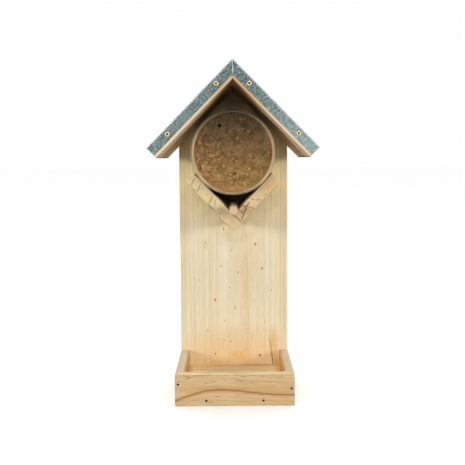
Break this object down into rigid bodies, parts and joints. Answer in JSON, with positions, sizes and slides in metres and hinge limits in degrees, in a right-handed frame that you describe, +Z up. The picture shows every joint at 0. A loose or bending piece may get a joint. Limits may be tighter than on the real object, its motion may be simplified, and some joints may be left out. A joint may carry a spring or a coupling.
{
  "type": "jar bird feeder house",
  "caption": "Wooden bird feeder house that holds an open food jar on its side in a V cradle, under a zinc covered gable roof, with a perch and a seed tray.",
  "frame": {"origin": "middle of the bounding box, on the plane that the tray stands on", "axes": "+Z up, the jar's mouth and the perch point along -Y, the back board's back faces +Y"},
  "size_m": [0.158, 0.1372, 0.3273],
  "materials": {
    "pine_board": "matte, unfinished sawn pine",
    "cradle_pine": "matte, unfinished sawn pine",
    "beech_dowel": "smooth, unfinished dowel",
    "zinc_sheet": "dull galvanised sheet",
    "brass_screw": "polished",
    "steel_nail": "dull",
    "steel_screw": "bright zinc plated",
    "steel_plate": "zinc plated",
    "jar_glass": "clear glass",
    "peanut_butter": "soft, lumpy, slightly oily"
  },
  "bodies": {
    "house": {"back_board": "pine_board", "roof_board_left": "pine_board", "roof_board_right": "pine_board", "zinc_roof_cover": "zinc_sheet", "cradle_board_left": "cradle_pine", "cradle_board_right": "cradle_pine", "perch_dowel": "beech_dowel", "tray_floor": "pine_board", "tray_front": "pine_board", "tray_side_left": "pine_board", "tray_side_right": "pine_board", "roof_cover_screws": "brass_screw", "roof_board_nails": "steel_nail", "ridge_nails": "steel_nail", "cradle_corner_nails": "steel_nail", "cradle_screws": "steel_screw", "tray_front_nails": "steel_nail", "tray_back_nails": "steel_nail", "hanger_plate": "steel_plate", "hanger_screws": "steel_screw"},
    "jar": {"jar_glass": "jar_glass", "peanut_butter": "peanut_butter"}
  },
  "joints": [
    {"name": "jar_slide", "type": "slide", "parent": "house", "child": "jar", "axis": [0, -1, 0], "range_m": [0, 0.1]}
  ]
}
